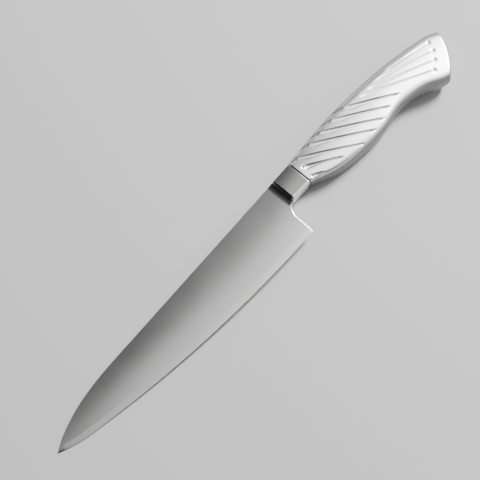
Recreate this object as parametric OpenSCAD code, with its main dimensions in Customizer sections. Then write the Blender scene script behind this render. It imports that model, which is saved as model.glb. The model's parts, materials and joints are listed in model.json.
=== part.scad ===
// All-steel kitchen knife lying on its side: ground blade, bolster, and a hollow
// fluted handle made of two pressed shells welded together round their rim.
// Millimetres. +X runs from the tip to the butt, +Y towards the spine, +Z up.
// The counter is z = 0. The knife rests on its tip and on the handle's lower face.

/* [Blade] */
// Length of the blade from tip to heel
blade_length = 150; // [100:1:240]
// Height of the blade at the heel
blade_height = 29.2; // [20:0.1:50]
// Thickness of the spine at the heel
spine_thickness = 1.9; // [1.2:0.1:3]
// Thickness of the blade just behind the tip
tip_thickness = 0.6; // [0.4:0.1:1.2]
// Thickness of the blade where the edge bevel starts at the heel
shoulder_thickness = 0.6; // [0.3:0.1:1.2]
// Width of the edge bevel
bevel_width = 2.7; // [1:0.1:5]
// How far the spine drops to the tip
tip_drop = 9; // [3:0.5:20]
// Length over which the spine drops to the tip
tip_drop_length = 52; // [20:1:90]
// How far the edge rises from the heel to the tip, before the nose
edge_rise = 18; // [8:0.5:24]
// Radius of the notch between the heel and the bolster
choil_radius = 6; // [3:0.5:12]

/* [Bolster] */
// Distance from the heel to the seam between bolster and handle
seam_from_heel = 16.5; // [12:0.5:30]
// Height of the bolster where it leaves the blade
bolster_height = 13.2; // [10:0.1:20]
// Thickness of the bolster
bolster_thickness = 9.6; // [6:0.1:14]
// Radius of the hollow blend from the blade up to the bolster
blend_radius = 4; // [2:0.25:6]
// Length of the spigot that enters the handle
spigot_length = 7; // [4:0.5:12]

/* [Handle] */
// Wall thickness of the pressed handle shells
shell_wall = 1.2; // [0.8:0.1:2]
// Width of the flush weld between the two shells
weld_width = 1; // [0.6:0.1:2]
// Depth of the diagonal flutes
flute_depth = 0.6; // [0.2:0.05:0.9]
// Width of a flute at its deep end
flute_width = 0.9; // [0.5:0.05:2]
// Width of a flute where it opens near the spine
flute_mouth = 1.8; // [0.5:0.05:3]
// Diameter of the dimple that closes a rear flute
dimple_diameter = 1.9; // [1:0.1:3]

/* [Hidden] */
$fn = 64;
clear = 1;      // how far a cutting tool runs past the metal
reach = 200;    // size of a cutting tool that has to pass right through

// ---- stations of the handle, from the seam to the butt ----
// [spine x, spine y, belly x, belly y, half thickness, outward bow of the section,
//  width of the spine shoulder, width of the belly shoulder]
seam_x = blade_length + seam_from_heel;
STATIONS = [
    [seam_x,        0.0,   seam_x,        -14.0, 5.3, 0.0, 2.5, 1.5],
    [seam_x + 15.5, 0.8,   seam_x + 14.0, -20.0, 6.6, 0.0, 3.2, 2.2],
    [seam_x + 31.5, 0.95,  seam_x + 28.5, -22.7, 7.3, 0.0, 4.0, 3.0],
    [seam_x + 47.5, 0.1,   seam_x + 42.5, -23.4, 7.5, 0.0, 4.5, 3.6],
    [seam_x + 63.5, -1.6,  seam_x + 56.0, -22.0, 7.4, 0.4, 5.0, 4.0],
    [seam_x + 78.5, -4.2,  seam_x + 68.0, -24.2, 7.1, 1.1, 5.0, 4.0],
    [seam_x + 91.5, -7.3,  seam_x + 77.5, -28.9, 6.7, 1.9, 5.0, 4.0],
    [seam_x + 99.3, -10.8, seam_x + 83.3, -31.0, 6.4, 2.4, 5.0, 4.0]
];
handle_length = STATIONS[len(STATIONS) - 1][0] - seam_x;

// Flutes on one face: [start x, start y, end x, end y, ends in a dimple]
FLUTES = [
    [seam_x + 3.7, -13.0, seam_x + 7.9, -16.1, false],
    [seam_x + 4.0,  -6.9, seam_x + 18.6, -17.9, false],
    [seam_x + 7.0,  -3.2, seam_x + 29.8, -21.3, false],
    [seam_x + 16.2, -3.6, seam_x + 38.8, -21.3, false],
    [seam_x + 25.0, -4.6, seam_x + 45.8, -20.6, false],
    [seam_x + 33.2, -4.8, seam_x + 52.4, -19.0, false],
    [seam_x + 41.6, -5.0, seam_x + 60.0, -18.1, false],
    [seam_x + 48.0, -5.2, seam_x + 80.2, -23.2, true],
    [seam_x + 53.0, -5.5, seam_x + 84.4, -20.0, true],
    [seam_x + 59.0, -5.4, seam_x + 87.8, -16.4, true],
    [seam_x + 66.6, -5.7, seam_x + 89.6, -12.2, true]
];

// ---- shape of the handle's section ----
spine_power = 2.1;      // 2 is an ellipse, larger is squarer
belly_power = 3.4;
crown_drop = 0.12;      // share of the thickness lost at the rims of the face
end_round = 0.045;      // share of the handle's length that rounds over at the butt
end_power = 2.6;
shoulder_steps = 6;
face_steps = 4;
handle_steps = 34;
end_steps = 6;
flute_facets = 12;
overrun = -0.02;        // place where a tool for the hollow starts, just ahead of the seam
butt_joint_place = 0.95;

// ---- blade ----
tip_blunt = 0.4;
nose_rise = blade_height - edge_rise - tip_drop - tip_blunt;
nose_length = 14;
heel_lean = 0.5;        // the heel line leans forward by this much at the edge
tang_end = seam_x + spigot_length + 1;
tang_inset = 2;         // the tang is this much narrower than the root, above and below
tang_shoulder = blade_length + 4.5;
taper_y = (spine_thickness - shoulder_thickness) / 2 / (blade_height - bevel_width);
taper_x = ((spine_thickness - tip_thickness) / 2 - taper_y * tip_drop) / blade_length;

// ---- bolster ----
blend_start = blade_length + 1.7;
bolster_half = bolster_thickness / 2;
bolster_flare = 0.6;    // the bolster deepens by this much to the seam
bolster_round = 1.2;    // width of the bolster's shoulders
spigot_gap = 0.15;
bead_inset = 1.2;       // the tang's weld bead is this much shorter than the bolster is high
bead_thickness = 3.6;

// ---- rest pose ----
rest_tilt = 2.03;       // the blade slopes down to the counter by this much
rest_lift = 0.34;
centre_x = 132.82;
centre_y = -15.0;

// ================= blade =================

// Height of the spine line above the straight part of the spine (never positive)
function spine_y(x) = -tip_drop * pow(max(0, 1 - x / tip_drop_length), 3);

// Height of the cutting edge: a long sweep with a tighter nose at the tip
function edge_y(x) =
    -blade_height
    + edge_rise * pow(max(0, 1 - x / blade_length), 2)
    + nose_rise * pow(max(0, 1 - x / nose_length), 2);

// Half thickness of the blade: one true plane, thinner to the tip and to the edge
function face_z(x, y) = spine_thickness / 2 + taper_y * y - taper_x * (blade_length - x);

function blade_section(x) =
    let (
        top = spine_y(x),
        low = edge_y(x),
        mid = low + min(bevel_width, (top - low) / 2)
    )
    [
        [x, top, face_z(x, top)],
        [x, mid, face_z(x, mid)],
        [x, low, 0],
        [x, mid, -face_z(x, mid)],
        [x, top, -face_z(x, top)]
    ];

// Blade and tang before the heel, the choil and the tang are cut
module blade_blank() {
    curved = [for (t = [0:0.1:1]) tip_drop_length * t * t];
    straight = [for (x = [tip_drop_length + 10:10:blade_length]) x];
    xs = concat(curved, straight, [tang_end]);
    sections = [for (x = xs) blade_section(x)];
    n = len(sections[0]);
    last = len(xs) - 1;
    polyhedron(
        points = [for (s = sections) each s],
        faces = concat(
            [[for (j = [0:n - 1]) j]],
            [[for (j = [n - 1:-1:0]) last * n + j]],
            [for (i = [0:last - 1], j = [0:n - 1])
                [i * n + j, (i + 1) * n + j, (i + 1) * n + (j + 1) % n, i * n + (j + 1) % n]]
        )
    );
}

// Everything behind the heel line and below the choil
module choil_cut() {
    centre = [blade_length + heel_lean + choil_radius, -bolster_height - choil_radius];
    far = tang_end + clear;
    low = -blade_height - clear;
    translate([0, 0, -spine_thickness]) linear_extrude(2 * spine_thickness) {
        translate(centre) circle(r = choil_radius);
        polygon([
            [blade_length, low],
            [blade_length, -blade_height],
            [blade_length + heel_lean, centre[1]],
            centre,
            [centre[0], -bolster_height],
            [far, -bolster_height],
            [far, low]
        ]);
    }
}

// Leaves the narrower tang that enters the bolster
module tang_cut() {
    length = tang_end + clear - tang_shoulder;
    for (y = [-tang_inset, -bolster_height - clear])
        translate([tang_shoulder, y, -spine_thickness])
            cube([length, tang_inset + clear, 2 * spine_thickness]);
}

module blade() {
    color("LightSteelBlue") difference() {
        blade_blank();
        choil_cut();
        tang_cut();
    }
}

// ================= lofted solids =================

function mix(a, b, t) = a + (b - a) * t;

// Smooth curve through the handle stations, t = 0 at the seam and 1 at the butt
function station(t) =
    let (
        last = len(STATIONS) - 1,
        i = max(0, min(last - 1, floor(t * last))),
        f = t * last - i,
        b = STATIONS[i],
        c = STATIONS[i + 1],
        a = i > 0 ? STATIONS[i - 1] : 2 * b - c,
        d = i < last - 1 ? STATIONS[i + 2] : 2 * c - b
    )
    (2 * b + (c - a) * f + (2 * a - 5 * b + 4 * c - d) * f * f
        + (3 * b - 3 * c + d - a) * f * f * f) / 2;

// Points [distance from the spine rim, height] over one half of a section
function profile(width, half, spine_round, belly_round) =
    let (
        steps = shoulder_steps,
        spine_side = [for (k = [0:steps]) let (w = 90 * k / steps)
            [spine_round * (1 - pow(cos(w), 2 / spine_power)), pow(sin(w), 2 / spine_power)]],
        face = [for (k = [1:face_steps - 1])
            [mix(spine_round, width - belly_round, k / face_steps), 1]],
        belly_side = [for (k = [steps:-1:0]) let (w = 90 * k / steps)
            [width - belly_round * (1 - pow(cos(w), 2 / belly_power)),
             pow(sin(w), 2 / belly_power)]]
    )
    [for (p = concat(spine_side, face, belly_side))
        [p[0], half * p[1] * (1 - crown_drop * pow(2 * p[0] / width - 1, 2))]];

// One half section standing on the mid plane, pulled in by inset on every side
function ring(s, inset, half) =
    let (
        spine = [s[0], s[1]],
        belly = [s[2], s[3]],
        width = norm(belly - spine),
        along = (belly - spine) / width,
        out = [-along[1], along[0]]
    )
    [for (p = profile(width - 2 * inset, half, s[6], s[7]))
        let (
            d = p[0] + inset,
            xy = spine + along * d + out * s[5] * 4 * d / width * (1 - d / width)
        )
        [xy[0], xy[1], p[1]]];

// How much of the thickness is left at t, rounding over to nothing at the butt
function end_factor(t, end) =
    let (q = min(1, (end - t) / end_round))
    pow(1 - pow(1 - q, end_power), 1 / end_power);

// Places along the handle where it is measured, closer together at the butt
function handle_places(start, end) =
    concat(
        [for (k = [0:handle_steps]) mix(start, end - end_round, k / handle_steps)],
        [for (k = [end_steps - 1:-1:0])
            end - end_round * (1 - pow(cos(90 * k / end_steps), 2 / end_power))]
    );

function handle_rings(inset, start) =
    let (end = 1 - inset / handle_length)
    [for (t = handle_places(start, end))
        let (s = station(t))
        ring(s, inset, (s[4] - inset) * end_factor(t, end))];

// Solid between the mid plane and a list of half sections
module half_solid(rings) {
    n = len(rings[0]);
    last = len(rings) - 1;
    front = [for (j = [0:n - 1]) j];
    back = [for (j = [n - 1:-1:0]) last * n + j];
    top = [for (i = [0:last - 1], j = [0:n - 2])
        let (a = i * n + j, b = a + n)
        each [[a, b + 1, a + 1], [a, b, b + 1]]];
    base = [for (i = [0:last - 1])
        let (a = i * n, b = a + n)
        each [[a, b + n - 1, b], [a, a + n - 1, b + n - 1]]];
    polyhedron(points = [for (r = rings) each r], faces = concat([front], [back], top, base));
}

// Upper half of the handle's outside, pulled in by inset
module handle_half(inset, start = 0) {
    half_solid(handle_rings(inset, start));
}

// ================= bolster =================

// Section of the bolster at a place along it: it deepens slightly to the seam
function bolster_ring(x) =
    let (
        t = max(0, (x - blade_length) / seam_from_heel),
        low = -bolster_height - bolster_flare * t * t
    )
    ring([x, 0, x, low, bolster_half, 0, bolster_round, bolster_round], 0, bolster_half);

module bolster_body() {
    parts = 3;
    rings = [for (k = [0:parts]) bolster_ring(mix(blend_start, seam_x, k / parts))];
    for (side = [0, 1]) mirror([0, 0, side]) half_solid(rings);
}

// Hollow blend rising from the blade's face to the bolster's full thickness
module blend_cut() {
    for (side = [0, 1]) mirror([0, 0, side])
        translate([blend_start, 0, spine_thickness / 2])
        rotate([90 + atan(taper_y), 0, 0])
        linear_extrude(reach, center = true)
        translate([0, blend_radius]) {
            circle(r = blend_radius);
            translate([-blend_radius, 0]) square([2 * blend_radius, bolster_half]);
        }
}

module spigot() {
    for (side = [0, 1]) mirror([0, 0, side]) intersection() {
        handle_half(shell_wall + spigot_gap);
        translate([seam_x + spigot_length - reach, -reach / 2, -reach / 2]) cube(reach);
    }
}

module bolster() {
    color("Silver") difference() {
        union() {
            difference() {
                bolster_body();
                blend_cut();
            }
            spigot();
        }
        blade();
    }
}

// Weld bead round the end of the tang, inside the handle
module tang_weld() {
    start = seam_x + spigot_length;
    color("DimGray") difference() {
        translate([start, bead_inset - bolster_height, -bead_thickness / 2])
            cube([tang_end - start, bolster_height - 2 * bead_inset, bead_thickness]);
        blade();
    }
}

// ================= handle =================

// Plan shape of one flute: a wedge that narrows, with a round end
module flute_plan(f) {
    from = [f[0], f[1]];
    to = [f[2], f[3]];
    side = [-(to - from)[1], (to - from)[0]] / norm(to - from);
    polygon([
        from + side * flute_mouth / 2,
        from - side * flute_mouth / 2,
        to - side * flute_width / 2,
        to + side * flute_width / 2
    ]);
    translate(from) circle(d = flute_mouth, $fn = flute_facets);
    translate(to) circle(d = f[4] ? dimple_diameter : flute_width, $fn = flute_facets);
}

// The metal taken out by the flutes: their floor follows the face
module flutes() {
    difference() {
        for (f = FLUTES) linear_extrude(reach) flute_plan(f);
        handle_half(flute_depth, overrun);
    }
}

// One pressed shell: it stops short of the mid plane by half the weld
module shell() {
    difference() {
        handle_half(0);
        handle_half(shell_wall, overrun);
        flutes();
        translate([seam_x - clear, -reach / 2, weld_width / 2 - reach]) cube(reach);
    }
}

module shell_left() {
    color("Gainsboro") shell();
}

module shell_right() {
    color("Gainsboro") mirror([0, 0, 1]) shell();
}

// Outline of the handle on the mid plane
module rim(inset, start = 0) {
    rings = handle_rings(inset, start);
    n = len(rings[0]);
    last = len(rings) - 1;
    points = concat(
        [for (r = rings) r[0]],
        [for (j = [1:n - 1]) rings[last][j]],
        [for (i = [last - 1:-1:0]) rings[i][n - 1]]
    );
    polygon([for (p = points) [p[0], p[1]]]);
}

// The flush weld that closes the rim between the two shells, cut to one run
module rim_weld(zone) {
    color("DimGray") translate([0, 0, -weld_width / 2]) linear_extrude(weld_width) intersection() {
        difference() {
            rim(0);
            rim(shell_wall, overrun);
        }
        polygon(zone);
    }
}

// The runs meet on the section just in front of the butt
butt_joint = station(butt_joint_place);
butt_top = [butt_joint[0], butt_joint[1]];
butt_low = [butt_joint[2], butt_joint[3]];
butt_line = (butt_top - butt_low) / 3;
seam_middle = [seam_x, -bolster_height / 2];

module spine_weld() {
    rim_weld([seam_middle, [seam_x, reach], butt_top + butt_line, butt_top - butt_line]);
}

module belly_weld() {
    rim_weld([seam_middle, [seam_x, -reach], butt_low - butt_line, butt_low + butt_line]);
}

module butt_weld() {
    far = seam_x + 2 * handle_length;
    rim_weld([butt_top + butt_line, butt_low - butt_line, [far, -reach], [far, reach]]);
}

// ================= assembly =================

module at_rest() {
    translate([-centre_x, -centre_y, rest_lift]) rotate([0, -rest_tilt, 0]) children();
}

at_rest() blade();
at_rest() bolster();
at_rest() tang_weld();
at_rest() shell_left();
at_rest() shell_right();
at_rest() spine_weld();
at_rest() belly_weld();
at_rest() butt_weld();
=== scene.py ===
"""All-steel kitchen knife on a pale floor: blade, bolster and a hollow fluted handle.

The shapes are worked out in the knife's own axes, in millimetres: x from the tip to the butt,
y up to the straight spine line at y = 0, z out of the visible face. The record's blade_slot
mount says where those axes lie in the row frame.
"""
import json
import math

import bmesh
import bpy
import numpy as np
from mathutils import Matrix, Vector


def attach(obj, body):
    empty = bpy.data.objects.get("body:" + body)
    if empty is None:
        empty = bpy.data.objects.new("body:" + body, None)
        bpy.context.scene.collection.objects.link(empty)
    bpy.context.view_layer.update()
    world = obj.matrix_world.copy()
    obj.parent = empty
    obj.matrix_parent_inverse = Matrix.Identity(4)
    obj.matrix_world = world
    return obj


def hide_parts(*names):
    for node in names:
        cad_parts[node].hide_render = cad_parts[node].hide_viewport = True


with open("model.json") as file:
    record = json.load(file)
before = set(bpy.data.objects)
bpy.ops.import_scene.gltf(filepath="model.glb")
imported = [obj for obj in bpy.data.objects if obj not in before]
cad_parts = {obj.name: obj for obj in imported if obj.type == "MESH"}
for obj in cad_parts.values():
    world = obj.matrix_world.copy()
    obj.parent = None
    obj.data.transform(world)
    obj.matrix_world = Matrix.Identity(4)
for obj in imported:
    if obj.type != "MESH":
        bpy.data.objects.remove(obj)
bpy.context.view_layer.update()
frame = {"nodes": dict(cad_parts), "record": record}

MM = 0.001
MERGE_GAP = 0.002           # mesh points closer together than this, mm, are one point

# ---- blade, mm ----
BLADE_LENGTH = 150.0
BLADE_HEIGHT = 29.2
MOUNT_Y = -15.0             # y of the blade_slot mount, whose x is that of the heel
SPINE_HALF = 0.95           # half the blade's thickness at the spine, at the heel
TAPER_Y = 0.02453           # the half thickness lost per mm towards the edge
TAPER_X = 0.00286           # and per mm towards the tip
TIP_DROP = 9.0              # the spine drops by this to the tip, over the length below
TIP_DROP_LENGTH = 52.0
EDGE_RISE = 18.0            # the edge sweeps up by this over the whole blade
NOSE_RISE = 1.8             # and by this much more over the nose
NOSE_LENGTH = 14.0
BEVEL_WIDTH = 2.7
BULGE = 0.22                # the ground face is convex by this, growing over the length below
BULGE_LENGTH = 60.0
SPINE_LIP = 0.25            # radius of the worked corner along the spine
HEEL_LIP = 0.6              # and along the heel and the choil
LIP_SHARE = 0.8             # that radius is at most this share of the half thickness
THIN_HALF = 0.02            # half thickness taken where the blade is thinner, at its edge
CHOIL_RADIUS = 6.0
HEEL_LEAN = 0.5             # the heel leans forward by this at the choil

# ---- bolster, mm ----
BOLSTER_HEIGHT = 13.2
BOLSTER_HALF = 4.8
BOLSTER_FLARE = 0.6         # it deepens by this to the seam
BOLSTER_ROUND = 1.2         # width of its rounded shoulders
BLEND_START = BLADE_LENGTH + 1.7
BLEND_RADIUS = 4.0
SEAM_X = BLADE_LENGTH + 16.5
LIP_RADIUS = 0.5            # radius of the corners on both sides of the seam

# ---- handle, mm ----
# Stations from the seam to the butt: spine x, spine y, belly x, belly y, half thickness,
# outward bow of the section, widths of the spine and belly shoulders
STATIONS = np.array([
    [0.0, 0.0, 0.0, -14.0, 5.3, 0.0, 2.5, 1.5],
    [15.5, 0.8, 14.0, -20.0, 6.6, 0.0, 3.2, 2.2],
    [31.5, 0.95, 28.5, -22.7, 7.3, 0.0, 4.0, 3.0],
    [47.5, 0.1, 42.5, -23.4, 7.5, 0.0, 4.5, 3.6],
    [63.5, -1.6, 56.0, -22.0, 7.4, 0.4, 5.0, 4.0],
    [78.5, -4.2, 68.0, -24.2, 7.1, 1.1, 5.0, 4.0],
    [91.5, -7.3, 77.5, -28.9, 6.7, 1.9, 5.0, 4.0],
    [99.3, -10.8, 83.3, -31.0, 6.4, 2.4, 5.0, 4.0],
]) + [SEAM_X, 0, SEAM_X, 0, 0, 0, 0, 0]
SPINE, BELLY = slice(0, 2), slice(2, 4)
HALF, BOW, SPINE_SHOULDER, BELLY_SHOULDER = 4, 5, 6, 7

SHELL_WALL = 1.2
SPINE_POWER, BELLY_POWER = 2.1, 3.4     # squareness of the section's two shoulders
CROWN_DROP = 0.12                       # share of the height that the crowned face loses
END_ROUND, END_POWER = 0.045, 2.6       # share of the length that rounds the butt, squareness
WELD_TURN = 0.95                        # share of the length where the butt weld takes over
WELD_HALF = 0.5
WELD_DEPTH = 1.0

# ---- flutes, mm ----
# Measured from the seam: start x, start y, end x, end y, ends in a dimple
FLUTES = [
    (3.7, -13.0, 7.9, -16.1, False),
    (4.0, -6.9, 18.6, -17.9, False),
    (7.0, -3.2, 29.8, -21.3, False),
    (16.2, -3.6, 38.8, -21.3, False),
    (25.0, -4.6, 45.8, -20.6, False),
    (33.2, -4.8, 52.4, -19.0, False),
    (41.6, -5.0, 60.0, -18.1, False),
    (48.0, -5.2, 80.2, -23.2, True),
    (53.0, -5.5, 84.4, -20.0, True),
    (59.0, -5.4, 87.8, -16.4, True),
    (66.6, -5.7, 89.6, -12.2, True),
]
# The front flutes and the rear ones, which end in a dimple
FRONT = {"depth": 0.6, "narrow": 1.15, "widening": 1.75, "run_out": 3.5}
REAR = {"depth": 0.26, "narrow": 0.95, "widening": 1.2, "run_out": 1.2}
WIDENING_POWER = 2.2        # how soon a flute closes from its wide end
CREST_SHIFT = 0.45          # the crest lies this far to the butt's side of the flute's line
CREST_HALF = 0.42           # half the width of the crest
FLOOR_FROM = 0.66           # share of the width where the scoop reaches its full depth
WALL = (0.6, 1.15)          # and shares of the width where its short wall starts and ends
OPEN_ABOVE = -6.0           # front flutes that start above this run out over the spine shoulder
OPEN_LENGTH = 12.0          # by this much
START_HALF = 2.0            # half the length over which a flute sets in
RUN_PAST = 1.0              # and how far past its end point it runs out
DIMPLE_DEPTH = 0.3
DIMPLE_RADIUS = 0.85
PIT_DEPTH = 0.4
PIT_RADIUS = 0.65
PIT_X, PIT_Y = -1.2, -0.1   # place of the pit from the flute's start

# ---- where the second finish and its painted highlights and painted shade fade out ----
BLADE_POLISH_AND_PAINTED_HIGHLIGHT = (0.35, 0.75)     # mm in from the heel and the choil
BLADE_STRIP = 3                 # the polished strip with its painted highlight along the blade's spine is this much narrower
BLADE_END = (BLEND_START - 1, BLEND_START + 1)              # x where the blade's polish and its painted highlight end
BOLSTER_POLISH_AND_PAINTED_HIGHLIGHT = (0.8, 1.4)     # mm in from the bolster's lower side
BOLSTER_STRIP = 2               # the polished strip with its painted highlight along the bolster's spine is this much narrower
BOLSTER_FRONT = (BLEND_START + 1.5, BLEND_START + 3)        # x where the bolster's polish and its painted highlight start
SIDE_WALL_PAINTED_SHADE = (0.62, 0.86)        # shares of the handle's half thickness over which the painted shade on the side walls fades out
SEAM_LIP_PAINTED_SHADE = (0.25, 0.45)         # mm behind the seam, over which the painted shade on the seam lip fades out
FLUTED_FACE = (0.6, 0.85)       # shares of the half thickness over which the flutes set in

# ---- fineness of the grids ----
TIP_COLUMNS, BLADE_COLUMNS, HEEL_COLUMNS, LEAN_COLUMNS, CHOIL_COLUMNS = 60, 90, 10, 24, 28
SPINE_ROWS, FACE_ROWS, BEVEL_ROWS = 8, 40, 16
SHOULDER_STEPS, ACROSS_STEPS = 20, 120
SHELL_ROWS, BUTT_ROWS, LIP_ROWS = 560, 26, 7
BLEND_ROWS, BOLSTER_ROWS = 40, 24
WELD_ROWS, TURN_ROWS, BUTT_WELD_ROWS = 160, 12, 60


# ================= placing and mesh helpers =================

def knife_to_row():
    """Matrix from the knife's own axes in millimetres to the row frame in metres."""
    mount = next(m for m in frame["record"]["mounts"] if m["name"] == "blade_slot")
    x = -Vector(mount["axis"])
    y = Vector((0, 1, 0))
    turn = Matrix((x, y, x.cross(y))).transposed()
    mount_place = Vector((BLADE_LENGTH, MOUNT_Y, 0)) * MM
    place = Matrix.Translation(Vector(mount["pos_m"]) - turn @ mount_place)
    return place @ turn.to_4x4() @ Matrix.Scale(MM, 4)


KNIFE = knife_to_row()


def make_object(name, points, faces, material, smooth_angle, finish_and_painted_light=None):
    """Mesh object from points in the knife's axes, closed up and with its normals outward.

    finish gives a share from 0 to 1 for arrays of x, y and z, which the material reads. That
    share places the second finish with its painted highlights and painted shade.
    """
    mesh = bpy.data.meshes.new(name)
    mesh.from_pydata([tuple(p) for p in points], [], faces)
    shape = bmesh.new()
    shape.from_mesh(mesh)
    bmesh.ops.remove_doubles(shape, verts=shape.verts, dist=MERGE_GAP)
    bmesh.ops.recalc_face_normals(shape, faces=shape.faces)
    for edge in shape.edges:
        edge.smooth = edge.calc_face_angle(0) < math.radians(smooth_angle)
    for face in shape.faces:
        face.smooth = True
    shape.to_mesh(mesh)
    shape.free()
    if finish_and_painted_light:
        places = np.array([v.co for v in mesh.vertices])
        shares = mesh.attributes.new("finish_and_painted_light", "FLOAT", "POINT")
        shares.data.foreach_set("value", finish_and_painted_light(*places.T).astype(np.float32))
    mesh.transform(KNIFE)
    mesh.materials.append(material)
    piece = bpy.data.objects.new(name, mesh)
    bpy.context.scene.collection.objects.link(piece)
    return piece


def grid_faces(rows, columns, start=0, flip=False):
    """Quads of a grid of points laid out row by row."""
    faces = []
    for i in range(rows - 1):
        for j in range(columns - 1):
            a = start + i * columns + j
            quad = (a, a + 1, a + columns + 1, a + columns)
            faces.append(quad[::-1] if flip else quad)
    return faces


def two_sided(grid):
    """Points and faces of a surface over the mid plane and its mirror image below."""
    rows, columns, _ = grid.shape
    count = rows * columns
    upper = grid.reshape(-1, 3)
    lower = upper * [1, 1, -1]
    faces = grid_faces(rows, columns) + grid_faces(rows, columns, count, flip=True)
    rim = [i * columns for i in range(rows)]
    rim += [(rows - 1) * columns + j for j in range(1, columns)]
    rim += [i * columns + columns - 1 for i in range(rows - 2, -1, -1)]
    rim += [j for j in range(columns - 2, 0, -1)]
    for a, b in zip(rim, rim[1:] + rim[:1]):
        faces.append((a, b, b + count, a + count))
    return np.vstack([upper, lower]), faces


def smoothstep(low, high, value):
    """Rises smoothly from 0 at low to 1 at high."""
    t = np.clip((value - low) / (high - low), 0, 1)
    return t * t * (3 - 2 * t)


def unit(vectors):
    """The same vectors with length 1."""
    length = np.linalg.norm(vectors, axis=-1, keepdims=True)
    return vectors / np.maximum(length, 1e-9)


# ================= blade =================

def spine_y(x):
    return -TIP_DROP * np.maximum(0, 1 - x / TIP_DROP_LENGTH) ** 3


def edge_y(x):
    sweep = EDGE_RISE * np.maximum(0, 1 - x / BLADE_LENGTH) ** 2
    nose = NOSE_RISE * np.maximum(0, 1 - x / NOSE_LENGTH) ** 2
    return -BLADE_HEIGHT + sweep + nose


def rounded(height, distance, radius):
    """Rounds a height over to a lip within radius of an outline."""
    inside = np.clip(distance, 0, radius)
    return height - radius + np.sqrt(np.maximum(0, radius ** 2 - (radius - inside) ** 2))


def blade_plane(x, y):
    """Half thickness of a blade with flat faces, before its edges are worked."""
    return SPINE_HALF + TAPER_Y * y - TAPER_X * (BLADE_LENGTH - x)


def ground_half(x, y):
    """Half thickness of the slightly convex ground face."""
    height = np.maximum(spine_y(x) - edge_y(np.minimum(x, BLADE_LENGTH)) - BEVEL_WIDTH, 1)
    share = np.clip((spine_y(x) - y) / height, 0, 1)
    return blade_plane(x, y) + BULGE * np.sin(math.pi * share) * smoothstep(0, BULGE_LENGTH, x)


def heel_gap(x, y):
    """Distance inside the heel line, the choil and the root's lower side."""
    centre_x = BLADE_LENGTH + HEEL_LEAN + CHOIL_RADIUS
    centre_y = -BOLSTER_HEIGHT - CHOIL_RADIUS
    heel_x = BLADE_LENGTH + HEEL_LEAN * (y + BLADE_HEIGHT) / (centre_y + BLADE_HEIGHT)
    choil = np.hypot(x - centre_x, y - centre_y) - CHOIL_RADIUS
    gap = np.where(y < centre_y, heel_x - x, choil)
    return np.where((y >= centre_y) & (x > centre_x), y + BOLSTER_HEIGHT, gap)


def blade_half(x, y):
    """Half thickness of the finished blade: ground face, bevel and softened outline."""
    edge = edge_y(np.minimum(x, BLADE_LENGTH))
    width = np.minimum(BEVEL_WIDTH, (spine_y(x) - edge) / 2)
    bevel = ground_half(x, edge + width) * (y - edge) / width
    half = np.minimum(ground_half(x, y), bevel)
    half = rounded(half, spine_y(x) - y, SPINE_LIP)
    lip = np.minimum(HEEL_LIP, np.maximum(half, THIN_HALF) * LIP_SHARE)
    return np.maximum(0, rounded(half, heel_gap(x, y), lip))


def blade_polish_and_painted_highlight(x, y, z):
    """The heel, the choil and the corner of the spine are polished and lightened with a painted
    highlight, the faces are brushed.
    """
    near = np.minimum(heel_gap(x, y), BLADE_STRIP * (spine_y(x) - y))
    clear = 1 - smoothstep(*BLADE_END, x)
    return clear * (1 - smoothstep(*BLADE_POLISH_AND_PAINTED_HIGHLIGHT, near))


def blade_columns():
    """Top and bottom points of each column of the blade's grid, from tip to bolster."""
    along = np.concatenate([
        TIP_DROP_LENGTH * np.linspace(0, 1, TIP_COLUMNS) ** 2,
        np.linspace(TIP_DROP_LENGTH + 1, BLADE_LENGTH - 2 * HEEL_LIP, BLADE_COLUMNS),
        BLADE_LENGTH - 1.5 * HEEL_LIP * (1 - np.linspace(0, 1, HEEL_COLUMNS)) ** 2,
    ])
    columns = [((x, spine_y(x)), (x, edge_y(x))) for x in along]
    centre = np.array([BLADE_LENGTH + HEEL_LEAN + CHOIL_RADIUS, -BOLSTER_HEIGHT - CHOIL_RADIUS])
    for t in np.linspace(0, 1, LEAN_COLUMNS)[1:]:
        low = (BLADE_LENGTH + HEEL_LEAN * t, -BLADE_HEIGHT + t * (BLADE_HEIGHT + centre[1]))
        columns.append(((low[0], 0), low))
    for w in np.radians(np.linspace(180, 90, CHOIL_COLUMNS)[1:]):
        low = centre + CHOIL_RADIUS * np.array([math.cos(w), math.sin(w)])
        columns.append(((low[0], 0), tuple(low)))
    columns.append(((centre[0] + 2, 0), (centre[0] + 2, -BOLSTER_HEIGHT)))
    return np.array(columns)


def make_blade(material):
    """Blade skin: its rows follow the spine, the line where the bevel starts and the edge."""
    columns = blade_columns()
    top, low = columns[:, None, 0], columns[:, None, 1]
    height = np.linalg.norm(top - low, axis=2)
    bevel = np.minimum(BEVEL_WIDTH, height / 2) / height
    lip = np.minimum(2 * SPINE_LIP, height * 0.1) / height
    near_spine = lip * np.linspace(0, 1, SPINE_ROWS)[None, :] ** 1.6
    middle = lip + (1 - bevel - lip) * np.linspace(0, 1, FACE_ROWS)[None, 1:]
    ground = 1 - bevel * (1 - np.linspace(0, 1, BEVEL_ROWS)[None, 1:])
    share = np.hstack([near_spine, middle, ground])
    plan = top + (low - top) * share[..., None]
    points, faces = two_sided(np.dstack([plan, blade_half(plan[..., 0], plan[..., 1])]))
    return make_object("blade_ground", points, faces, material,
                       smooth_angle=20, finish_and_painted_light=blade_polish_and_painted_highlight)


# ================= lofted handle and bolster =================

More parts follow.
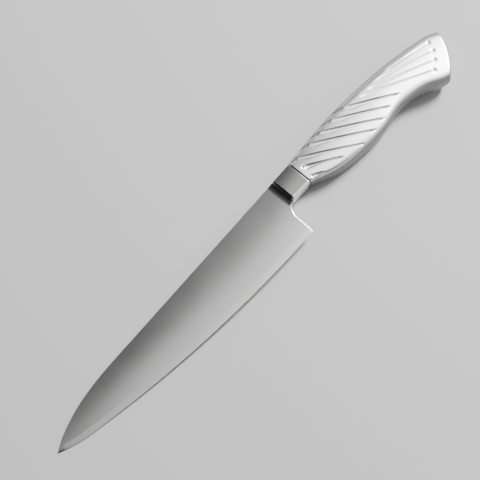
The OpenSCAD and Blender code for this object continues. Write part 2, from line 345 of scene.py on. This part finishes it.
def station(t):
    """Smooth curve through the handle's stations, t = 0 at the seam and 1 at the butt."""
    last = len(STATIONS) - 1
    i = np.clip(np.floor(t * last).astype(int), 0, last - 1)
    f = (t * last - i)[:, None]
    b, c = STATIONS[i], STATIONS[i + 1]
    a = np.where((i > 0)[:, None], STATIONS[np.maximum(i - 1, 0)], 2 * b - c)
    d = np.where((i < last - 1)[:, None], STATIONS[np.minimum(i + 2, last)], 2 * c - b)
    return (2 * b + (c - a) * f + (2 * a - 5 * b + 4 * c - d) * f ** 2
            + (3 * b - 3 * c + d - a) * f ** 3) / 2


def profile(width, half, spine_round, belly_round):
    """Distance from the spine rim and height over one half section, for arrays of sections."""
    width, half = width[:, None], half[:, None]
    spine_round, belly_round = spine_round[:, None], belly_round[:, None]
    w = np.radians(np.linspace(0, 90, SHOULDER_STEPS))
    spine_d = spine_round * (1 - np.cos(w) ** (2 / SPINE_POWER))
    belly_d = belly_round * (1 - np.cos(w[::-1]) ** (2 / BELLY_POWER))
    middle = np.linspace(0, 1, ACROSS_STEPS + 2)[1:-1]
    face_d = spine_round + middle * (width - belly_round - spine_round)
    d = np.concatenate([spine_d, face_d, width - belly_d], axis=1)
    spine_z = np.sin(w) ** (2 / SPINE_POWER)
    belly_z = np.sin(w[::-1]) ** (2 / BELLY_POWER)
    z = np.concatenate([spine_z, np.ones(ACROSS_STEPS), belly_z])
    crown = 1 - CROWN_DROP * (2 * d / width - 1) ** 2
    return d, half * z * crown


def loft(s, half, inset):
    """Grid of surface points over the mid plane for a list of stations, pulled in by inset."""
    spine, belly, bow = s[:, SPINE], s[:, BELLY], s[:, BOW]
    width = np.linalg.norm(belly - spine, axis=1)
    along = (belly - spine) / width[:, None]
    out = np.stack([-along[:, 1], along[:, 0]], axis=1)
    d, z = profile(width - 2 * inset, half, s[:, SPINE_SHOULDER], s[:, BELLY_SHOULDER])
    d = d + inset[:, None]
    q = d / width[:, None]
    plan = (spine[:, None] + along[:, None] * d[..., None]
            + out[:, None] * (bow[:, None] * 4 * q * (1 - q))[..., None])
    return np.dstack([plan, z])


def end_factor(t):
    """Share of the handle's thickness that the rounded butt leaves at t."""
    q = np.clip((1 - t) / END_ROUND, 0, 1)
    return (1 - (1 - q) ** END_POWER) ** (1 / END_POWER)


def normals_of(grid):
    """Unit normals of a grid of points, all on the side of +z."""
    n = unit(np.cross(np.gradient(grid, axis=0), np.gradient(grid, axis=1)))
    return n * np.where(n[..., 2:3] < -1e-6, -1, 1)


def flute_cut(x, y, flute):
    """How deep one flute cuts at each plan point.

    A flute is a scoop with a crisp crest on the side towards the butt. From the crest it
    falls away at once, then runs out flat and comes back up at a short wall. It is wide near
    the spine and closes to a narrow line towards the belly.
    """
    start_x, start_y, end_x, end_y, has_dimple = flute
    style = REAR if has_dimple else FRONT
    start = np.array([start_x + SEAM_X, start_y])
    end = np.array([end_x + SEAM_X, end_y])
    length = np.linalg.norm(end - start)
    along = (end - start) / length
    side = np.array([-along[1], along[0]])
    u = (x - start[0]) * along[0] + (y - start[1]) * along[1]
    v = (x - start[0]) * side[0] + (y - start[1]) * side[1]
    t = np.clip(u / length, 0, 1)
    width = style["narrow"] + style["widening"] * (1 - t) ** WIDENING_POWER
    across = (CREST_SHIFT - v) / width
    crest = smoothstep(-CREST_HALF, CREST_HALF, across * width)
    fall = 1 - np.clip(1 - across / FLOOR_FROM, 0, 1) ** 2
    wall = 1 - smoothstep(*WALL, across)
    first = -OPEN_LENGTH if start_y > OPEN_ABOVE and not has_dimple else 0.0
    fade_in = smoothstep(first - START_HALF, first + START_HALF, u)
    fade_out = 1 - smoothstep(length - style["run_out"], length + RUN_PAST, u)
    cut = style["depth"] * fall * wall * crest * fade_in * fade_out
    if has_dimple:
        cut = cut + DIMPLE_DEPTH * np.exp(-((u - length) ** 2 + v ** 2) / DIMPLE_RADIUS ** 2)
    return cut


def pit_cut(x, y, flute):
    """The small round pit where a flute starts beside the seam."""
    away = (x - SEAM_X - flute[0] - PIT_X) ** 2 + (y - flute[1] - PIT_Y) ** 2
    return PIT_DEPTH * np.exp(-away / PIT_RADIUS ** 2)


def shell_rows():
    """Places along the handle: the lip at the seam, the length of it, and the rounded butt.

    The second array says how far each row is pulled in. The first row lies inside the flat
    end face at the seam, and the next ones follow the corner of the lip.
    """
    butt = np.linspace(np.pi / 2, 0, BUTT_ROWS)
    ends = 1 - END_ROUND * (1 - np.cos(butt) ** (2 / END_POWER))
    length = STATIONS[-1, 0] - SEAM_X
    w = np.linspace(0, np.pi / 2, LIP_ROWS)
    lip = LIP_RADIUS * (1 - np.cos(w)) / length
    middle = np.linspace(lip[-1], 1 - END_ROUND, SHELL_ROWS)[1:-1]
    t = np.concatenate([[0], lip, middle, ends])
    inset = np.zeros_like(t)
    inset[0] = SHELL_WALL
    inset[1:LIP_ROWS + 1] = LIP_RADIUS * (1 - np.sin(w))
    return t, inset


def rim_grind_and_painted_shade(x, y, z):
    """The side walls towards the welds and the lip at the seam are ground and darkened with
    painted shade, the face is satin.
    """
    half = np.interp(x, STATIONS[:, 0], STATIONS[:, HALF])
    side = 1 - smoothstep(*SIDE_WALL_PAINTED_SHADE, np.abs(z) / half)
    return np.maximum(side, 1 - smoothstep(*SEAM_LIP_PAINTED_SHADE, x - SEAM_X))


def make_shell(name, side, material):
    """Outside of one handle shell, closed along the mid plane: side is 1 or -1, as z is."""
    t, inset = shell_rows()
    s = station(t)
    grid = loft(s, (s[:, HALF] - inset) * end_factor(t), inset)
    cut = np.zeros(grid.shape[:2])
    for flute in FLUTES:
        cut = np.maximum(cut, flute_cut(grid[..., 0], grid[..., 1], flute))
    for flute in FLUTES[:2]:
        cut = np.maximum(cut, pit_cut(grid[..., 0], grid[..., 1], flute))
    raised = smoothstep(*FLUTED_FACE, grid[..., 2] / s[:, None, HALF])
    grid = grid - normals_of(grid) * (cut * raised)[..., None]
    grid[..., 2] = np.maximum(grid[..., 2], 0)
    rows, columns, _ = grid.shape
    faces = grid_faces(rows, columns)
    for i in range(rows - 1):
        a, b = i * columns, (i + 1) * columns
        faces.append((a, a + columns - 1, b + columns - 1, b))
    faces.append(tuple(range(columns)))
    return make_object(name, grid.reshape(-1, 3) * [1, 1, side], faces, material,
                       smooth_angle=60, finish_and_painted_light=rim_grind_and_painted_shade)


def bolster_low(x):
    """Lower side of the bolster, which deepens slightly to the seam."""
    return -BOLSTER_HEIGHT - BOLSTER_FLARE * ((x - BLADE_LENGTH) / (SEAM_X - BLADE_LENGTH)) ** 2


def bolster_polish_and_painted_highlight(x, y, z):
    """The bolster's rounded lower side is polished and lightened with a painted highlight, and so
    is a narrower strip along its spine.
    """
    near = np.minimum(y - bolster_low(x), BOLSTER_STRIP * -y)
    clear = smoothstep(*BOLSTER_FRONT, x)
    return clear * (1 - smoothstep(*BOLSTER_POLISH_AND_PAINTED_HIGHLIGHT, near))


def make_bolster(material):
    """Block with a hollow blend down to the blade and a small corner at the seam."""
    blend_end = BLEND_START + BLEND_RADIUS
    xs = np.concatenate([
        BLEND_START + BLEND_RADIUS * np.sin(np.linspace(0, np.pi / 2, BLEND_ROWS)),
        np.linspace(blend_end, SEAM_X - LIP_RADIUS, BOLSTER_ROWS)[1:],
        SEAM_X - LIP_RADIUS * (1 - np.sin(np.linspace(0, np.pi / 2, LIP_ROWS)[1:])),
    ])
    zero = np.zeros_like(xs)
    shoulder = zero + BOLSTER_ROUND
    s = np.stack([xs, zero, xs, bolster_low(xs), zero, zero, shoulder, shoulder], axis=1)
    corner = np.clip(xs - SEAM_X + LIP_RADIUS, 0, None)
    inset = LIP_RADIUS - np.sqrt(LIP_RADIUS ** 2 - corner ** 2)
    grid = loft(s, BOLSTER_HALF - inset, inset)
    into = np.clip(xs - BLEND_START, 0, BLEND_RADIUS)
    rise = BLEND_RADIUS - np.sqrt(BLEND_RADIUS ** 2 - into ** 2)
    rise = np.where(xs > blend_end, np.inf, rise)
    blend = rise[:, None] + ground_half(grid[..., 0], grid[..., 1])
    grid[..., 2] = np.minimum(grid[..., 2], blend)
    points, faces = two_sided(grid)
    return make_object("bolster_block", points, faces, material,
                       smooth_angle=35, finish_and_painted_light=bolster_polish_and_painted_highlight)


# ================= welds =================

def long_rim(side):
    """Plan points of the handle's spine rim or belly rim, from the seam to the butt weld."""
    return station(np.linspace(0, WELD_TURN, WELD_ROWS))[:, side]


def butt_rim():
    """Plan points of the rim round the butt, from the spine weld to the belly weld."""
    turn = station(np.linspace(WELD_TURN, 1, TURN_ROWS))
    d = np.linspace(0, 1, BUTT_WELD_ROWS)
    spine, belly, bow = turn[-1, SPINE], turn[-1, BELLY], turn[-1, BOW]
    along = belly - spine
    out = np.array([-along[1], along[0]]) / np.linalg.norm(along)
    arc = spine + along * d[:, None] + out * (bow * 4 * d * (1 - d))[:, None]
    return np.vstack([turn[:, SPINE], arc[1:-1], turn[::-1, BELLY]])


def make_weld(name, path, material):
    """A flush strip of ground weld metal along the rim."""
    ahead = np.gradient(path, axis=0)
    out = unit(np.stack([ahead[:, 1], -ahead[:, 0]], axis=1))
    # a point in the middle of the handle tells outward from inward
    middle = STATIONS[3:5, 0:4].reshape(-1, 2).mean(axis=0)
    out = out * np.where(np.sum(out * (path - middle), axis=1) < 0, -1, 1)[:, None]
    # each point of the section: mm out from the rim, share of the half width
    crown = [(0.0, -1.0), (0.015, -0.6), (0.02, 0.0), (0.015, 0.6), (0.0, 1.0)]
    section = [(-WELD_DEPTH, -1.0), *crown, (-WELD_DEPTH, 1.0)]
    grid = np.array([
        [[*(p + o * proud), share * WELD_HALF] for proud, share in section]
        for p, o in zip(path, out)
    ])
    rows, columns, _ = grid.shape
    faces = grid_faces(rows, columns)
    for i in range(rows - 1):
        a = i * columns
        faces.append((a, a + columns, a + 2 * columns - 1, a + columns - 1))
    faces.append(tuple(range(columns)))
    faces.append(tuple((rows - 1) * columns + j for j in range(columns)))
    return make_object(name, grid.reshape(-1, 3), faces, material, smooth_angle=50)


# ================= materials =================

LINE_SCALE, PATCH_SCALE = 2500, 70      # noise scales of the grinding lines and the patches
LINE_DARK, LINE_LIGHT = 0.9, 1.06       # share of the grey in and between the lines
PATCH_GLOSS = 0.03                      # the roughness varies by this either way
BUMP_HEIGHT = 0.00002                   # depth of the lines, m


def mixed(nodes, links, kind, share, first, second):
    """Blend of two colours (kind RGBA) or two numbers (kind FLOAT) by a share."""
    mix = nodes.new("ShaderNodeMix")
    mix.data_type = kind
    socket_type = "RGBA" if kind == "RGBA" else "VALUE"
    ends = [k for k in mix.inputs if k.type == socket_type and k.name in ("A", "B")]
    links.new(share, mix.inputs[0])
    for socket, value in zip(ends, (first, second)):
        if isinstance(value, bpy.types.NodeSocket):
            links.new(value, socket)
        else:
            socket.default_value = value
    return next(k for k in mix.outputs if k.type == socket_type)


def noise(nodes, links, vector, scale):
    """Noise texture over a vector socket. Returns its value's socket."""
    texture = nodes.new("ShaderNodeTexNoise")
    texture.inputs["Scale"].default_value = scale
    texture.inputs["Detail"].default_value = 3
    links.new(vector, texture.inputs["Vector"])
    return texture.outputs["Fac"]


def steel_colour(grey):
    """Base colour of a grey steel, very slightly warm."""
    return (grey, grey, grey * 0.99, 1)


def steel(name, grey, roughness, streaks, depth, painted_light_grey, second_roughness, grain=0.0):
    """Stainless steel with fine grinding lines and soft patches, and a second finish whose grey
    is painted light.

    streaks stretches the lines along the axes with the small values, depth is the strength of
    their bump, and grain is the anisotropy along x. The second finish shows where the mesh's
    finish share is 1: it has its own roughness, and its grey is a painted highlight where it is
    lighter than the face and painted shade where it is darker.
    """
    material = bpy.data.materials.new(name)
    material.use_nodes = True
    nodes, links = material.node_tree.nodes, material.node_tree.links
    shader = nodes["Principled BSDF"]
    shader.inputs["Metallic"].default_value = 1.0
    shader.inputs["Anisotropic"].default_value = grain
    if grain:
        tangent = nodes.new("ShaderNodeCombineXYZ")
        tangent.inputs["X"].default_value = 1.0
        links.new(tangent.outputs["Vector"], shader.inputs["Tangent"])
    place = nodes.new("ShaderNodeTexCoord")
    stretch = nodes.new("ShaderNodeMapping")
    stretch.inputs["Scale"].default_value = streaks
    links.new(place.outputs["Object"], stretch.inputs["Vector"])
    lines = noise(nodes, links, stretch.outputs["Vector"], LINE_SCALE)
    patches = noise(nodes, links, place.outputs["Object"], PATCH_SCALE)
    share = nodes.new("ShaderNodeAttribute")
    share.attribute_name = "finish_and_painted_light"

    dark, light = steel_colour(grey * LINE_DARK), steel_colour(grey * LINE_LIGHT)
    face = mixed(nodes, links, "RGBA", lines, dark, light)
    # the second grey is painted light: a painted highlight on the blade's and bolster's edges,
    # painted shade on the handle's side walls and seam lip
    colour = mixed(nodes, links, "RGBA", share.outputs["Fac"], face, steel_colour(painted_light_grey))
    links.new(colour, shader.inputs["Base Color"])
    smooth, rough = roughness - PATCH_GLOSS, roughness + PATCH_GLOSS
    gloss = mixed(nodes, links, "FLOAT", patches, smooth, rough)
    gloss = mixed(nodes, links, "FLOAT", share.outputs["Fac"], gloss, second_roughness)
    links.new(gloss, shader.inputs["Roughness"])
    bump = nodes.new("ShaderNodeBump")
    bump.inputs["Strength"].default_value = depth
    bump.inputs["Distance"].default_value = BUMP_HEIGHT
    links.new(lines, bump.inputs["Height"])
    links.new(bump.outputs["Normal"], shader.inputs["Normal"])
    return material


def floor_material():
    """Matt pale grey."""
    material = bpy.data.materials.new("pale_floor")
    material.use_nodes = True
    shader = material.node_tree.nodes["Principled BSDF"]
    shader.inputs["Base Color"].default_value = (0.38, 0.38, 0.38, 1)
    shader.inputs["Roughness"].default_value = 0.75
    return material


# ================= stage, light and camera =================

FLOOR_HALF = 4.0            # half the floor's side, m


def make_floor():
    """Square floor at z = 0."""
    mesh = bpy.data.meshes.new("floor")
    r = FLOOR_HALF
    mesh.from_pydata([(-r, -r, 0), (r, -r, 0), (r, r, 0), (-r, r, 0)], [], [(0, 1, 2, 3)])
    floor = bpy.data.objects.new("floor", mesh)
    mesh.materials.append(floor_material())
    bpy.context.scene.collection.objects.link(floor)


def add_light(name, place, size, power, turn):
    """Softbox aimed at the knife, with its long side turned from the x axis by turn degrees."""
    lamp = bpy.data.lights.new(name, "AREA")
    lamp.shape = "RECTANGLE"
    lamp.size, lamp.size_y = size
    lamp.energy = power
    light = bpy.data.objects.new(name, lamp)
    back = Vector(place).normalized()
    side = Vector((math.cos(math.radians(turn)), math.sin(math.radians(turn)), 0))
    side = (side - back * side.dot(back)).normalized()
    turned = Matrix((side, back.cross(side), back)).transposed().to_4x4()
    light.matrix_world = Matrix.Translation(place) @ turned
    bpy.context.scene.collection.objects.link(light)


def make_world(grey):
    """Even dim light from all sides."""
    world = bpy.data.worlds.new("studio")
    world.use_nodes = True
    world.node_tree.nodes["Background"].inputs["Color"].default_value = (grey, grey, grey, 1)
    bpy.context.scene.world = world


def make_camera():
    """Stands over the blade's edge near the tip and looks down across the knife."""
    target = Vector((-0.0080, 0.0085, 0.0053))
    distance, tilt, azimuth = 0.600, math.radians(20), math.radians(-139.5)
    level = math.sin(tilt)
    back = Vector((math.cos(azimuth) * level, math.sin(azimuth) * level, math.cos(tilt)))
    data = bpy.data.cameras.new("camera")
    data.lens = 98.5
    data.sensor_width = 36
    data.clip_start = 0.01
    camera = bpy.data.objects.new("camera", data)
    camera.location = target + back * distance
    camera.rotation_mode = "QUATERNION"
    camera.rotation_quaternion = (target - camera.location).to_track_quat("-Z", "Y")
    bpy.context.scene.collection.objects.link(camera)
    bpy.context.scene.camera = camera


# ================= build =================

# blade: its bright second grey is a painted highlight on the polished heel, choil and spine
# corner
blade_steel = steel("blade_satin", grey=0.19, roughness=0.30, streaks=(1, 0.04, 0.3), depth=0.2,
                    painted_light_grey=0.9, second_roughness=0.22, grain=0.7)
# bolster: its bright second grey is a painted highlight on the polished lower side and spine
# strip
bolster_steel = steel("bolster_satin", grey=0.135, roughness=0.34, streaks=(0.3, 1, 1), depth=0.3,
                      painted_light_grey=0.9, second_roughness=0.25)
# handle: its dark second grey is painted shade on the side walls and the seam lip
handle_steel = steel("handle_satin", grey=0.95, roughness=0.32, streaks=(0.5, 1, 1), depth=0.25,
                     painted_light_grey=0.2, second_roughness=0.42)
weld_steel = steel("weld_ground", grey=0.2, roughness=0.42, streaks=(0.1, 1, 1), depth=0.3,
                   painted_light_grey=0.2, second_roughness=0.42)

# piece, the CAD node it replaces, its slot
pieces = [
    (make_blade(blade_steel), "blade", "blade_steel"),
    (make_bolster(bolster_steel), "bolster", "bolster_steel"),
    (make_shell("shell_left_skin", 1, handle_steel), "shell_left", "handle_steel"),
    (make_shell("shell_right_skin", -1, handle_steel), "shell_right", "handle_steel"),
    (make_weld("spine_weld_run", long_rim(SPINE), weld_steel), "spine_weld", "weld_steel"),
    (make_weld("belly_weld_run", long_rim(BELLY), weld_steel), "belly_weld", "weld_steel"),
    (make_weld("butt_weld_run", butt_rim(), weld_steel), "butt_weld", "weld_steel"),
]
for piece, node, slot_name in pieces:
    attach(piece, "root")
    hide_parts(node)

tang_weld = frame["nodes"]["tang_weld"]
tang_weld.data.materials.clear()
tang_weld.data.materials.append(weld_steel)

# Softboxes: name, place and size in metres, watts, turn in degrees
SOFTBOXES = [
    ("key", (1.12, -0.06, 1.20), (0.42, 0.45), 80, 0),
    ("strip", (0.20, 0.05, 1.20), (0.70, 0.22), 2.5, 0),
    ("tip_fill", (-0.65, 0.08, 1.15), (0.80, 0.30), 0.8, 0),
    ("back_fill", (0.95, 0.85, 1.20), (1.10, 0.20), 2.5, 55),
    ("far_fill", (1.45, 1.40, 1.20), (0.90, 0.50), 5.0, 55),
    ("spine_fill", (0.10, 1.20, 0.45), (0.80, 0.30), 0.8, 0),
    ("belly_fill", (0.65, -0.90, 0.90), (0.90, 1.00), 8.0, 0),
]
make_floor()
make_world(0.03)
for softbox in SOFTBOXES:
    add_light(*softbox)
make_camera()
